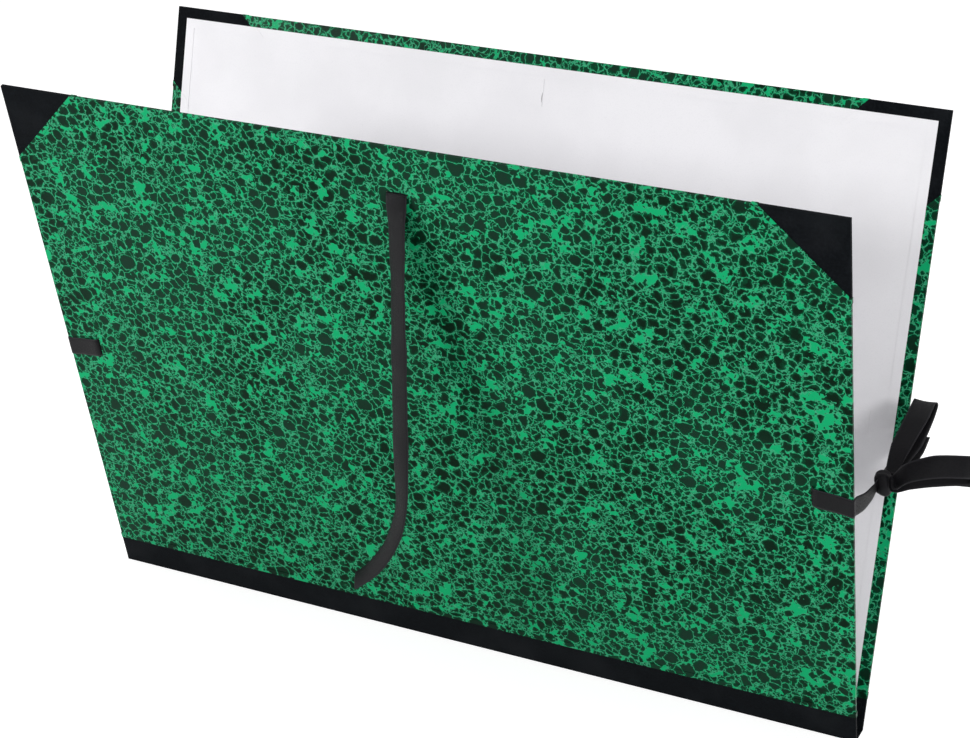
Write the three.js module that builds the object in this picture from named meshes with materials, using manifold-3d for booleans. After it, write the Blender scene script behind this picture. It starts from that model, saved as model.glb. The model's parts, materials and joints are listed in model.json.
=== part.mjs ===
// Drawing portfolio: two boards covered in marbled paper, with a cloth spine, cloth corners,
// a plain paper lining and three pairs of ribbon ties. It stands open on its spine, and the
// right-hand pair of ribbons is tied in a bow that holds the covers apart.
// Millimetres. X runs along the spine, Y from the front cover to the back cover, Z is up.
// The origin is the middle of the spine's underside.
import * as THREE from 'three';
import { mergeVertices } from 'three/addons/utils/BufferGeometryUtils.js';
import Module from 'manifold-3d';

const wasm = await Module();
wasm.setup();

// Covers
const COVER_WIDTH = 720;
const COVER_HEIGHT = 520;
const BOARD_THICKNESS = 2.2;
const COVER_LEAN = 14; // degrees from upright, each cover
const SPINE_WIDTH = 20;
const BOARD_LIFT = 0.8; // bottom edge of a board above its hinge line

// Covering materials
const CLOTH = 0.35;
const PAPER = 0.25;
const LINING = 0.25;
const GLUE = 0.05; // glue line between two layers
const CORNER_LEG = 68; // visible cloth along each edge of a corner
const SPINE_LAP = 28; // visible cloth up each cover
const INNER_LAP = 24; // hinge cloth up the inside of each cover
const PAPER_LAP = 5; // paper over the cloth's edge
const TURN_IN = 18; // covering turned over the edges to the inside
const LINING_INSET = 10;
const HINGE_CLOTH_INSET = 4; // hinge cloth short of each end of the spine

// Ribbons
const RIBBON_WIDTH = 18;
const RIBBON = 0.5;
const PASTED_END = 20; // ribbon pasted down under the lining
const SLIT_THICKNESS = 1.4;
const SLIT_SPARE = 1; // slit longer than the ribbon is wide
const TOP_SLIT_DROP = 42; // below the top edge
const SIDE_SLIT_INSET = 33; // in from the side edge
const SIDE_SLIT_HEIGHT = 260;
const RIBBON_SLANT = 5; // fall of a side ribbon between its slit and the edge
const RIBBON_OFF = 0.3; // between a ribbon and what it lies on
const HANG_LENGTH = 250; // straight part of the front's hanging ribbon
const BACK_HANG_LENGTH = 290;
const HANG_START = 12; // below the slit, where a ribbon begins to hang free
const HANG_STEP = 20; // longest step between the stations of the straight part
const HANG_TWIST = 0.6; // radians, from the slit to the curl
const CURL_TWIST = 1; // radians, from the slit to the ribbon's end
const CURL_RADIUS = 110; // curl at the end of a hanging ribbon
const CURL_ANGLE = 50; // degrees
const INSIDE_RUN = 26; // side ribbon along the inside of the cover, before it falls
const INSIDE_TURN = 30; // radius of that fall, in the plane of the cover
const INSIDE_FALL = 170;

// Bow in the right-hand pair
const KNOT_OUT = 9.5; // knot's middle, out from the covers' side edge
const KNOT_DROP = 9; // knot's middle, below the side slits' middle
const KNOT = { x: COVER_WIDTH / 2 + KNOT_OUT, y: -26, z: SIDE_SLIT_HEIGHT - KNOT_DROP };
const KNOT_SIZE = { x: 14, y: 13, z: 20 };
const KNOT_ROUND = 3;
const STRAND_GAP = 0.6; // between a strand's end and the knot
const STRAND_START = 2.5; // straight part of a strand beside the knot
const LOOP_REACH = 64; // right-hand loop, out from the knot
const LOOP_RISE = 27;
const LOOP_OPEN = 20; // between the two strands of a loop
const LOOP_TILT = 11; // the far strand lies lower by this much
const UPPER_REACH = 76; // upper loop, towards the back cover
const UPPER_RISE = 36;
const UPPER_OUT = 9; // upper loop's middle, out from the knot's middle
const UPPER_OPEN = 14;
const TAIL_LENGTH = 58;

const LEAN = THREE.MathUtils.degToRad(COVER_LEAN);
const SKIN = CLOTH + PAPER + 2 * GLUE; // all layers over a board's face or edge
const FAR = 60; // further than any cutting body has to reach past a board
const BOARD = {
  x: COVER_WIDTH / 2 - SKIN,
  front: SKIN,
  back: SKIN + BOARD_THICKNESS,
  bottom: BOARD_LIFT,
  top: COVER_HEIGHT - SKIN,
};
const MIDDLE = (BOARD.front + BOARD.back) / 2;

const FINISH = {
  board: new THREE.MeshStandardMaterial({ color: 0x9a9389, roughness: 0.9 }),
  paper: new THREE.MeshStandardMaterial({ color: 0x1a6b47, roughness: 0.5 }),
  cloth: new THREE.MeshStandardMaterial({ color: 0x1b1c1e, roughness: 0.75 }),
  lining: new THREE.MeshStandardMaterial({ color: 0xeceaec, roughness: 0.85 }),
  ribbon: new THREE.MeshStandardMaterial({ color: 0x0d0d10, roughness: 0.6 }),
};

// Solids

function toManifold(geometry) {
  const bare = geometry.clone();
  bare.deleteAttribute('normal');
  bare.deleteAttribute('uv');
  const merged = mergeVertices(bare, 1e-5);
  return new wasm.Manifold(new wasm.Mesh({
    numProp: 3,
    vertProperties: new Float32Array(merged.attributes.position.array),
    triVerts: new Uint32Array(merged.index.array),
  }));
}

function toGeometry(solid) {
  const mesh = solid.getMesh();
  const geometry = new THREE.BufferGeometry();
  geometry.setAttribute('position', new THREE.Float32BufferAttribute(mesh.vertProperties, 3));
  geometry.setIndex(new THREE.Uint32BufferAttribute(mesh.triVerts, 1));
  geometry.computeVertexNormals();
  return geometry;
}

function block(low, high) {
  const size = high.map((value, axis) => value - low[axis]);
  const geometry = new THREE.BoxGeometry(...size);
  geometry.translate(...low.map((value, axis) => value + size[axis] / 2));
  return toManifold(geometry);
}

// A prism whose outline is drawn on the cover (x across, z up) and which runs in depth.
function prism(outline, from, to) {
  const shape = new THREE.Shape(outline.map(([x, z]) => new THREE.Vector2(x, z)));
  const geometry = new THREE.ExtrudeGeometry(shape, { depth: to - from, bevelEnabled: false });
  geometry.rotateX(Math.PI / 2);
  geometry.translate(0, to, 0);
  return toManifold(geometry);
}

function join(solids) {
  return solids.reduce((sum, solid) => sum.add(solid));
}

// Layers of a cover, in its own upright frame. The hinge line is X, the outer side faces -Y.

function boardBox(grow) {
  return block(
    [-BOARD.x - grow, BOARD.front - grow, grow > 0 ? -FAR : BOARD.bottom],
    [BOARD.x + grow, BOARD.back + grow, BOARD.top + grow],
  );
}

// Cloth of one top corner, filled in to the board. A straight cut across the corner of the
// sheet slopes one way outside and, where it is turned over the edge, the other way inside.
function filledCorner(side, grow) {
  const edge = COVER_WIDTH / 2;
  const leg = CORNER_LEG + PAPER_LAP + grow;
  const band = TURN_IN + grow;
  const outside = prism([
    [side * (edge - leg), COVER_HEIGHT],
    [side * (edge - leg - FAR), COVER_HEIGHT + FAR],
    [side * (edge + FAR), COVER_HEIGHT + FAR],
    [side * (edge + FAR), COVER_HEIGHT - leg - FAR],
    [side * edge, COVER_HEIGHT - leg],
  ], -FAR, MIDDLE);
  const inside = prism([
    [side * (edge - leg), COVER_HEIGHT + FAR],
    [side * (edge - leg), COVER_HEIGHT],
    [side * (edge - leg - band), COVER_HEIGHT - band],
    [side * (edge - band), COVER_HEIGHT - band],
    [side * (edge - band), COVER_HEIGHT - leg - band],
    [side * edge, COVER_HEIGHT - leg],
    [side * (edge + FAR), COVER_HEIGHT - leg],
    [side * (edge + FAR), COVER_HEIGHT + FAR],
  ], MIDDLE, FAR);
  return boardBox(GLUE + CLOTH + grow).intersect(outside.add(inside));
}

// Spine cloth where it lies on a cover: the outer face and a turn-in at each end.
function filledLap(grow) {
  const top = SPINE_LAP + PAPER_LAP + grow;
  const band = COVER_WIDTH / 2 - TURN_IN - grow;
  const outside = block([-FAR - COVER_WIDTH, -FAR, -FAR], [COVER_WIDTH + FAR, MIDDLE, top]);
  const left = block([-FAR - COVER_WIDTH, MIDDLE, -FAR], [-band, FAR, top]);
  const right = block([band, MIDDLE, -FAR], [COVER_WIDTH + FAR, FAR, top]);
  return boardBox(GLUE + CLOTH + grow).intersect(join([outside, left, right]));
}

// Where the marbled paper goes: the outer face between the cloths, and the turn-ins.
function paperOutline(grow) {
  const edge = COVER_WIDTH / 2;
  const leg = CORNER_LEG - grow;
  const bottom = SPINE_LAP - grow;
  const band = TURN_IN + grow;
  const outside = prism([
    [-edge - FAR, bottom],
    [edge + FAR, bottom],
    [edge + FAR, COVER_HEIGHT - leg],
    [edge, COVER_HEIGHT - leg],
    [edge - leg, COVER_HEIGHT],
    [edge - leg, COVER_HEIGHT + FAR],
    [-edge + leg, COVER_HEIGHT + FAR],
    [-edge + leg, COVER_HEIGHT],
    [-edge, COVER_HEIGHT - leg],
    [-edge - FAR, COVER_HEIGHT - leg],
  ], -FAR, MIDDLE);
  const turnIns = [-1, 1].map((side) => prism([
    [side * (edge + FAR), bottom],
    [side * (edge + FAR), COVER_HEIGHT - leg],
    [side * edge, COVER_HEIGHT - leg],
    [side * (edge - band), COVER_HEIGHT - leg - band],
    [side * (edge - band), bottom],
  ], MIDDLE, FAR));
  const top = prism([
    [-edge + leg, COVER_HEIGHT + FAR],
    [-edge + leg, COVER_HEIGHT],
    [-edge + leg + band, COVER_HEIGHT - band],
    [edge - leg - band, COVER_HEIGHT - band],
    [edge - leg, COVER_HEIGHT],
    [edge - leg, COVER_HEIGHT + FAR],
  ], MIDDLE, FAR);
  return join([outside, ...turnIns, top]);
}

function underPaper(grow) {
  return join([boardBox(grow), filledLap(grow), filledCorner(-1, grow), filledCorner(1, grow)]);
}

function filledPaper(grow) {
  return underPaper(GLUE + PAPER + grow).intersect(paperOutline(grow));
}

// Hinge cloth where it lies on the inside of a cover.
function hingeCloth(grow) {
  const end = COVER_WIDTH / 2 - HINGE_CLOTH_INSET + grow;
  const reach = block([-end, MIDDLE, -FAR], [end, FAR, INNER_LAP + grow]);
  return join([boardBox(GLUE + CLOTH + grow), filledLap(GLUE + CLOTH + grow)]).intersect(reach);
}

// The ends of the three ribbons, pasted flat on the inside of the board.
function pastedEnds(grow) {
  const half = RIBBON_WIDTH / 2 + grow;
  const slitX = COVER_WIDTH / 2 - SIDE_SLIT_INSET;
  const slitZ = COVER_HEIGHT - TOP_SLIT_DROP;
  const low = BOARD.back;
  const high = BOARD.back + GLUE + RIBBON + grow;
  const length = PASTED_END + SLIT_THICKNESS + grow;
  return join([
    block([-half, low, slitZ - SLIT_THICKNESS - grow], [half, high, slitZ + length]),
    block([-slitX - SLIT_THICKNESS - grow, low, SIDE_SLIT_HEIGHT - half],
      [-slitX + length, high, SIDE_SLIT_HEIGHT + half]),
    block([slitX - length, low, SIDE_SLIT_HEIGHT - half],
      [slitX + SLIT_THICKNESS + grow, high, SIDE_SLIT_HEIGHT + half]),
  ]);
}

function underLining(grow) {
  return join([
    underPaper(grow),
    filledPaper(grow),
    hingeCloth(grow),
    pastedEnds(grow),
  ]);
}

function slits() {
  const half = (RIBBON_WIDTH + SLIT_SPARE) / 2;
  const slitX = COVER_WIDTH / 2 - SIDE_SLIT_INSET;
  const slitZ = COVER_HEIGHT - TOP_SLIT_DROP;
  const thick = SLIT_THICKNESS / 2;
  const depth = BOARD.back + GLUE;
  return join([
    block([-half, -FAR, slitZ - thick], [half, depth, slitZ + thick]),
    block([-slitX - thick, -FAR, SIDE_SLIT_HEIGHT - half],
      [-slitX + thick, depth, SIDE_SLIT_HEIGHT + half]),
    block([slitX - thick, -FAR, SIDE_SLIT_HEIGHT - half],
      [slitX + thick, depth, SIDE_SLIT_HEIGHT + half]),
  ]);
}

function coverSolids() {
  const board = boardBox(0).subtract(slits());
  const corners = [-1, 1].map((side) => filledCorner(side, 0).subtract(boardBox(GLUE)));
  const paper = filledPaper(0).subtract(underPaper(GLUE)).subtract(slits());
  const edge = COVER_WIDTH / 2 - LINING_INSET;
  const reach = block(
    [-edge, MIDDLE, INNER_LAP - PAPER_LAP],
    [edge, FAR, COVER_HEIGHT - LINING_INSET],
  );
  const lining = underLining(GLUE + LINING).intersect(reach).subtract(underLining(GLUE));
  return { board, corners, paper, lining };
}

// Ribbons

// A ribbon lofted through stations, each a point on its middle line, the direction of its
// width there and, where it is gathered, a narrower width.
function ribbon(stations) {
  const points = stations.map((station) => station.at);
  const count = stations.length;
  const position = [];
  stations.forEach((station, index) => {
    const before = points[Math.max(index - 1, 0)];
    const after = points[Math.min(index + 1, count - 1)];
    const along = after.clone().sub(before).normalize();
    const across = station.across.clone();
    across.addScaledVector(along, -across.dot(along)).normalize();
    const face = along.clone().cross(across);
    const half = (station.width ?? RIBBON_WIDTH) / 2;
    [[-1, -1], [1, -1], [1, 1], [-1, 1]].forEach(([u, v]) => {
      const corner = station.at.clone().addScaledVector(across, u * half);
      corner.addScaledVector(face, v * RIBBON / 2);
      position.push(corner.x, corner.y, corner.z);
    });
  });
  const index = [0, 2, 1, 0, 3, 2];
  for (let ring = 0; ring < count - 1; ring += 1) {
    for (let side = 0; side < 4; side += 1) {
      const a = ring * 4 + side;
      const b = ring * 4 + ((side + 1) % 4);
      // Both faces are split along the same diagonal, so a twisted ribbon keeps its thickness.
      if (side === 2) {
        index.push(a, b, a + 4, b, b + 4, a + 4);
      } else {
        index.push(a, b, b + 4, a, b + 4, a + 4);
      }
    }
  }
  const last = (count - 1) * 4;
  index.push(last, last + 1, last + 2, last, last + 2, last + 3);
  const geometry = new THREE.BufferGeometry();
  geometry.setAttribute('position', new THREE.Float32BufferAttribute(position, 3));
  geometry.setIndex(index);
  geometry.computeVertexNormals();
  return geometry;
}

// Stations spread along a smooth curve through a few chosen ones.
function smooth(chosen, steps) {
  const curve = new THREE.CatmullRomCurve3(chosen.map((station) => station.at), false, 'centripetal');
  const turn = new THREE.CatmullRomCurve3(chosen.map((station) => station.across));
  const widths = chosen.map((station) => station.width ?? RIBBON_WIDTH);
  const result = [];
  for (let step = 0; step <= steps; step += 1) {
    const share = step / steps;
    const place = share * (chosen.length - 1);
    const low = Math.min(Math.floor(place), chosen.length - 2);
    const width = THREE.MathUtils.lerp(widths[low], widths[low + 1], place - low);
    result.push({ at: curve.getPoint(share), across: turn.getPoint(share), width });
  }
  return result;
}

const vector = (x, y, z) => new THREE.Vector3(x, y, z);
const station = (x, y, z, across, width) => ({ at: vector(x, y, z), across, width });

// Middle of a ribbon pasted on the inside of the board, and of one that lies outside or inside.
const PASTED = BOARD.back + GLUE + RIBBON / 2;
const OUTSIDE = BOARD.front - GLUE - PAPER - RIBBON_OFF - RIBBON / 2;
const INSIDE = BOARD.back + 2 * GLUE + PAPER + LINING + RIBBON_OFF + RIBBON / 2;
const EDGE = COVER_WIDTH / 2 - SKIN + GLUE + PAPER + RIBBON_OFF + RIBBON / 2;
const SLIT_X = COVER_WIDTH / 2 - SIDE_SLIT_INSET;
const SLIT_Z = COVER_HEIGHT - TOP_SLIT_DROP;

// From the pasted end, out through a side slit and round the edge of the cover.
function sideRibbonStart(side) {
  const up = vector(0, 0, 1);
  const low = SIDE_SLIT_HEIGHT - RIBBON_SLANT;
  return [
    station(side * (SLIT_X - PASTED_END), PASTED, SIDE_SLIT_HEIGHT, up),
    station(side * (SLIT_X - 0.5), PASTED, SIDE_SLIT_HEIGHT, up),
    station(side * SLIT_X, PASTED - 0.5, SIDE_SLIT_HEIGHT, up),
    station(side * SLIT_X, OUTSIDE + 0.5, SIDE_SLIT_HEIGHT, up),
    station(side * (SLIT_X + 0.6), OUTSIDE - 0.2, SIDE_SLIT_HEIGHT, up),
    station(side * (SLIT_X + 3), OUTSIDE - 0.2, SIDE_SLIT_HEIGHT - 0.4, up),
    station(side * (EDGE - 14), OUTSIDE, low + 1.6, up),
    station(side * (EDGE - 0.4), OUTSIDE, low, up),
    station(side * EDGE, OUTSIDE + 0.4, low, up),
  ];
}

// A ribbon that is not tied: round the edge, along the inside and down.
function looseSideRibbon(side) {
  const low = SIDE_SLIT_HEIGHT - RIBBON_SLANT;
  const up = vector(0, 0, 1);
  const stations = [
    ...sideRibbonStart(side),
    station(side * EDGE, INSIDE - 0.4, low, up),
    station(side * (EDGE - 0.4), INSIDE, low, up),
    station(side * (EDGE - INSIDE_RUN / 2), INSIDE, low, up),
  ];
  const steps = 8;
  const start = EDGE - INSIDE_RUN;
  for (let step = 0; step <= steps; step += 1) {
    const angle = (step / steps) * (Math.PI / 2);
    const x = side * (start - INSIDE_TURN * Math.sin(angle));
    const z = low - INSIDE_TURN * (1 - Math.cos(angle));
    stations.push(station(x, INSIDE, z, vector(-side * Math.sin(angle), 0, Math.cos(angle))));
  }
  const end = side * (start - INSIDE_TURN);
  const aside = vector(-side, 0, 0);
  stations.push(station(end, INSIDE, low - INSIDE_TURN - INSIDE_FALL / 2, aside));
  stations.push(station(end, INSIDE, low - INSIDE_TURN - INSIDE_FALL, aside));
  return stations;
}

// A top ribbon: through its slit, over its lower lip and straight down under its own weight,
// which takes it away from the leaning cover, and curling to one side at its end.
function hangingRibbon(length, curlSide) {
  const right = vector(1, 0, 0);
  const away = (fall) => OUTSIDE - 1.2 - fall * Math.tan(LEAN);
  const stations = [
    station(0, PASTED, SLIT_Z + PASTED_END, right),
    station(0, PASTED, SLIT_Z + 0.5, right),
    station(0, PASTED - 0.5, SLIT_Z, right),
    station(0, OUTSIDE + 0.5, SLIT_Z, right),
    station(0, OUTSIDE - 0.3, SLIT_Z - 0.6, right),
    station(0, OUTSIDE - 1, SLIT_Z - 3, right),
  ];
  const falls = Math.round((length - HANG_START) / HANG_STEP);
  for (let step = 0; step <= falls; step += 1) {
    const share = step / falls;
    const fall = THREE.MathUtils.lerp(HANG_START, length, share);
    const turn = HANG_TWIST * share * curlSide;
    const across = vector(Math.cos(turn), Math.sin(turn), 0);
    stations.push(station(0, away(fall), SLIT_Z - fall, across));
  }
  const steps = 6;
  for (let step = 1; step <= steps; step += 1) {
    const share = step / steps;
    const angle = THREE.MathUtils.degToRad(CURL_ANGLE) * share;
    const x = curlSide * CURL_RADIUS * (1 - Math.cos(angle));
    const z = SLIT_Z - length - CURL_RADIUS * Math.sin(angle);
    const turn = THREE.MathUtils.lerp(HANG_TWIST, CURL_TWIST, share) * curlSide;
    const across = vector(Math.cos(turn), Math.sin(turn), 0);
    stations.push(station(x, away(SLIT_Z - z), z, across));
  }
  return stations;
}

// Where a point of a cover's own frame is in the whole. facing is 1 in front and -1 behind.
function placed(facing, x, y, z) {
  const point = vector(x, y, z).applyAxisAngle(vector(1, 0, 0), LEAN);
  point.y -= SPINE_WIDTH / 2;
  return facing > 0 ? point : vector(-point.x, -point.y, point.z);
}

// The tied ribbon of a cover, in the frame of the whole: round the edge and on to the knot.
function tiedRibbon(facing) {
  const stations = sideRibbonStart(facing).map((one) => {
    const at = placed(facing, one.at.x, one.at.y, one.at.z);
    const across = one.across.clone().applyAxisAngle(vector(1, 0, 0), LEAN * facing);
    return { at, across, width: one.width };
  });
  const edge = stations[stations.length - 1];
  const reach = KNOT_SIZE.y / 2 + STRAND_GAP;
  const end = vector(KNOT.x - KNOT_SIZE.x / 4, KNOT.y - facing * reach, KNOT.z);
  const gathered = 12;
  const leave = placed(facing, EDGE * facing, BOARD.back + SKIN, SIDE_SLIT_HEIGHT - RIBBON_SLANT);
  const chosen = [
    { at: leave, across: edge.across, width: RIBBON_WIDTH },
    { at: leave.clone().lerp(end, 0.35).add(vector(1, 0, -2)), across: edge.across, width: 16 },
    { at: leave.clone().lerp(end, 0.75).add(vector(1, 0, -1)), across: vector(0, 0, 1), width: 13 },
    { at: vector(end.x, end.y - facing * STRAND_START, end.z), across: vector(0, 0, 1), width: gathered },
    { at: end, across: vector(0, 0, 1), width: gathered },
  ];
  return [...stations, ...smooth(chosen, 12)];
}

// The loop that stands out to the right: out along the near strand, round, back along the far one.
function rightLoop() {
  const x = KNOT.x + KNOT_SIZE.x / 2 + STRAND_GAP;
  const near = KNOT.y - 3;
  const z = KNOT.z + 3;
  const up = vector(0, 0.25, 1);
  const out = (share) => x + LOOP_REACH * share;
  return smooth([
    station(x, near, z, up, 12),
    station(x + STRAND_START, near, z, up, 12),
    station(out(0.22), near - 5, z + LOOP_RISE * 0.5, up, 15),
    station(out(0.55), near - 7, z + LOOP_RISE * 0.9, up),
    station(out(0.88), near - 3, z + LOOP_RISE, up),
    station(out(1), near + LOOP_OPEN * 0.35, z + LOOP_RISE * 0.85, up),
    station(out(0.86), near + LOOP_OPEN * 0.75, z + LOOP_RISE - LOOP_TILT, up),
    station(out(0.5), near + LOOP_OPEN * 0.6, z + LOOP_RISE * 0.8 - LOOP_TILT, up),
    station(out(0.2), near + LOOP_OPEN * 0.35, z + LOOP_RISE * 0.35 - LOOP_TILT * 0.6, up, 14),
    station(x + STRAND_START, near + 5, z - 5, up, 10),
    station(x, near + 5, z - 5, up, 10),
  ], 48);
}

// The loop that stands up beside the back cover's edge.
function upperLoop() {
  const y = KNOT.y + KNOT_SIZE.y / 2 + STRAND_GAP;
  const x = KNOT.x + 3;
  const over = KNOT.x + UPPER_OUT;
  const z = KNOT.z + 5;
  const wide = vector(1, 0, 0);
  const out = (share) => y + UPPER_REACH * share;
  return smooth([
    station(x, y, z + 2, wide, 9),
    station(x, y + STRAND_START, z + 2, wide, 9),
    station(x + 2, out(0.25), z + UPPER_RISE * 0.45, wide, 13),
    station(over, out(0.6), z + UPPER_RISE * 0.86, wide),
    station(over, out(0.9), z + UPPER_RISE, wide),
    station(over, out(1), z + UPPER_RISE - UPPER_OPEN * 0.4, wide),
    station(over, out(0.88), z + UPPER_RISE - UPPER_OPEN * 0.95, wide),
    station(over - 1, out(0.5), z + UPPER_RISE * 0.62 - UPPER_OPEN * 0.8, wide),
    station(x + 1, out(0.2), z + UPPER_RISE * 0.2 - UPPER_OPEN * 0.3, wide, 12),
    station(x, y + STRAND_START, z - 3, wide, 9),
    station(x, y, z - 3, wide, 9),
  ], 48);
}

function rightTail() {
  const x = KNOT.x + KNOT_SIZE.x / 2 + STRAND_GAP;
  const y = KNOT.y + 5;
  const up = vector(0, 0.1, 1);
  return smooth([
    station(x, y, KNOT.z - 1, up, 9),
    station(x + STRAND_START, y, KNOT.z - 1, up, 9),
    station(x + TAIL_LENGTH * 0.3, y + 6, KNOT.z + 5, up, 15),
    station(x + TAIL_LENGTH * 0.65, y + 10, KNOT.z + 10, up),
    station(x + TAIL_LENGTH, y + 14, KNOT.z + 11, up),
  ], 14);
}

function upperTail() {
  const y = KNOT.y + KNOT_SIZE.y / 2 + STRAND_GAP;
  const x = KNOT.x + 4;
  const wide = vector(1, 0, 0);
  return smooth([
    station(x, y, KNOT.z - 3, wide, 9),
    station(x, y + STRAND_START, KNOT.z - 3, wide, 9),
    station(x + 3, y + TAIL_LENGTH * 0.35, KNOT.z + 3, wide, 15),
    station(x + 5, y + TAIL_LENGTH * 0.7, KNOT.z + 9, wide),
    station(x + 5, y + TAIL_LENGTH, KNOT.z + 15, wide),
  ], 14);
}

function knot() {
  const { x, y, z } = KNOT_SIZE;
  const r = KNOT_ROUND;
  const shape = new THREE.Shape();
  shape.moveTo(-y / 2 + r, -z / 2 + r);
  shape.lineTo(y / 2 - r, -z / 2 + r);
  shape.lineTo(y / 2 - r, z / 2 - r);
  shape.lineTo(-y / 2 + r, z / 2 - r);
  const geometry = new THREE.ExtrudeGeometry(shape, {
    depth: x - 2 * r,
    bevelThickness: r,
    bevelSize: r,
    bevelSegments: 3,
  });
  geometry.translate(0, 0, -(x - 2 * r) / 2);
  geometry.rotateY(Math.PI / 2);
  geometry.rotateX(Math.PI / 2);
  geometry.translate(KNOT.x, KNOT.y, KNOT.z);
  return geometry;
}

// Spine

// Stands a solid of a cover's own frame where that cover is.
function lean(solid, facing) {
  const matrix = new THREE.Matrix4().makeTranslation(0, -SPINE_WIDTH / 2, 0);
  matrix.multiply(new THREE.Matrix4().makeRotationX(LEAN));
  if (facing < 0) {
    matrix.premultiply(new THREE.Matrix4().makeRotationZ(Math.PI));
  }
  const geometry = toGeometry(solid);
  geometry.applyMatrix4(matrix);
  return toManifold(geometry);
}

// Outer cloth: one sheet round the spine, up both covers and turned in at its ends.
function spineCloth() {
  const lap = filledLap(0).subtract(boardBox(GLUE));
  const floor = block([-COVER_WIDTH, -FAR, 0], [COVER_WIDTH, FAR, FAR]);
  const half = SPINE_WIDTH / 2;
  const end = BOARD.x + GLUE + CLOTH;
  const strip = block([-end, -half, 0], [end, half, CLOTH]);
  const laps = [1, -1].map((facing) => lean(lap, facing).intersect(floor));
  return join([strip, ...laps]);
}

// Hinge cloth: one sheet inside, across the gutter and up both boards.
function innerHingeCloth() {
  const lap = hingeCloth(0).subtract(join([boardBox(GLUE), filledLap(GLUE)]));
  const low = CLOTH + GLUE;
  const end = COVER_WIDTH / 2 - TURN_IN - 2 * GLUE - CLOTH;
  const floor = block([-COVER_WIDTH, -FAR, low], [COVER_WIDTH, FAR, FAR]);
  const half = SPINE_WIDTH / 2 - (BOARD.back + GLUE) * Math.cos(LEAN);
  const strip = block([-end, -half, low], [end, half, low + CLOTH]);
  const laps = [1, -1].map((facing) => lean(lap, facing).intersect(floor));
  return join([strip, ...laps]);
}

// Assembly

function mesh(name, geometry, material) {
  const made = new THREE.Mesh(geometry, material);
  made.name = name;
  return made;
}

function cover(name, facing) {
  const stand = new THREE.Group();
  stand.position.y = -SPINE_WIDTH / 2;
  stand.rotation.x = LEAN;
  const { board, corners, paper, lining } = coverSolids();
  const sideName = (side) => (side * facing < 0 ? 'left' : 'right');
  stand.add(mesh(`${name}_board`, toGeometry(board), FINISH.board));
  stand.add(mesh(`${name}_marbled_paper`, toGeometry(paper), FINISH.paper));
  stand.add(mesh(`${name}_lining`, toGeometry(lining), FINISH.lining));
  [-1, 1].forEach((side, index) => {
    const label = `${name}_corner_${sideName(side)}`;
    stand.add(mesh(label, toGeometry(corners[index]), FINISH.cloth));
  });
  const length = facing > 0 ? HANG_LENGTH : BACK_HANG_LENGTH;
  const hanging = ribbon(hangingRibbon(length, -1));
  stand.add(mesh(`${name}_top_ribbon`, hanging, FINISH.ribbon));
  const loose = ribbon(looseSideRibbon(-facing));
  stand.add(mesh(`${name}_left_ribbon`, loose, FINISH.ribbon));
  const turned = new THREE.Group();
  turned.rotation.z = facing > 0 ? 0 : Math.PI;
  turned.add(stand);
  return turned;
}

const portfolio = new THREE.Group();
portfolio.add(cover('front', 1));
portfolio.add(cover('back', -1));
portfolio.add(mesh('spine_cloth', toGeometry(spineCloth()), FINISH.cloth));
portfolio.add(mesh('inner_hinge_cloth', toGeometry(innerHingeCloth()), FINISH.cloth));
portfolio.add(mesh('front_right_ribbon', ribbon(tiedRibbon(1)), FINISH.ribbon));
portfolio.add(mesh('back_right_ribbon', ribbon(tiedRibbon(-1)), FINISH.ribbon));
portfolio.add(mesh('bow_knot', knot(), FINISH.ribbon));
portfolio.add(mesh('bow_right_loop', ribbon(rightLoop()), FINISH.ribbon));
portfolio.add(mesh('bow_upper_loop', ribbon(upperLoop()), FINISH.ribbon));
portfolio.add(mesh('bow_right_tail', ribbon(rightTail()), FINISH.ribbon));
portfolio.add(mesh('bow_upper_tail', ribbon(upperTail()), FINISH.ribbon));

export default portfolio;
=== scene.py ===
# Looks of the drawing portfolio: marbled paper, book cloth, lining paper, ribbons and a bow.
# Metres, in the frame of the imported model. X runs along the spine, Z is up.
import json
import math

import bmesh
import bpy
from mathutils import Matrix, Vector

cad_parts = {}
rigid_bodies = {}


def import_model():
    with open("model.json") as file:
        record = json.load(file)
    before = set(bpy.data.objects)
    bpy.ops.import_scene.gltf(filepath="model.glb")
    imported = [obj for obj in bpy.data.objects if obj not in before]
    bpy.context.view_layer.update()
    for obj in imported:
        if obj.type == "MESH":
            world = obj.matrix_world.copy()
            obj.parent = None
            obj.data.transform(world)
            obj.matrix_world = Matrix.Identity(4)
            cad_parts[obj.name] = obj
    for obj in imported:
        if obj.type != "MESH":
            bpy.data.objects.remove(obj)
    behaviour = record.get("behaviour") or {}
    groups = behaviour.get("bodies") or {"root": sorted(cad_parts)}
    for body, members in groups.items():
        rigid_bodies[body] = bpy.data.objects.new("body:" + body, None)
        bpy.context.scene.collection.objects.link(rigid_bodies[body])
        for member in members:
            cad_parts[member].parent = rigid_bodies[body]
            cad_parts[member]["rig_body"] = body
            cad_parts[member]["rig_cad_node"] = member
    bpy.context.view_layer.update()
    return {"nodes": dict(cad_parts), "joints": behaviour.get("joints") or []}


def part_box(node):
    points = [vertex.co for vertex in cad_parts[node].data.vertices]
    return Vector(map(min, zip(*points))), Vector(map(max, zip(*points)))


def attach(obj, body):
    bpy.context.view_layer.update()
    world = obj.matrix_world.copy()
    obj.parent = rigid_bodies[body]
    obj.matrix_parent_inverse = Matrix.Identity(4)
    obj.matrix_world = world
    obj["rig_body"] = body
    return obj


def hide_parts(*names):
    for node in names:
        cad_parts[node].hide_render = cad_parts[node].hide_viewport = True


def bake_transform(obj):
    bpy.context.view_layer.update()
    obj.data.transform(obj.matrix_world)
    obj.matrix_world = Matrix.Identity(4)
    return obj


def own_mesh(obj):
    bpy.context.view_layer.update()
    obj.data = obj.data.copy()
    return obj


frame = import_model()
NODES = frame["nodes"]
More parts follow.
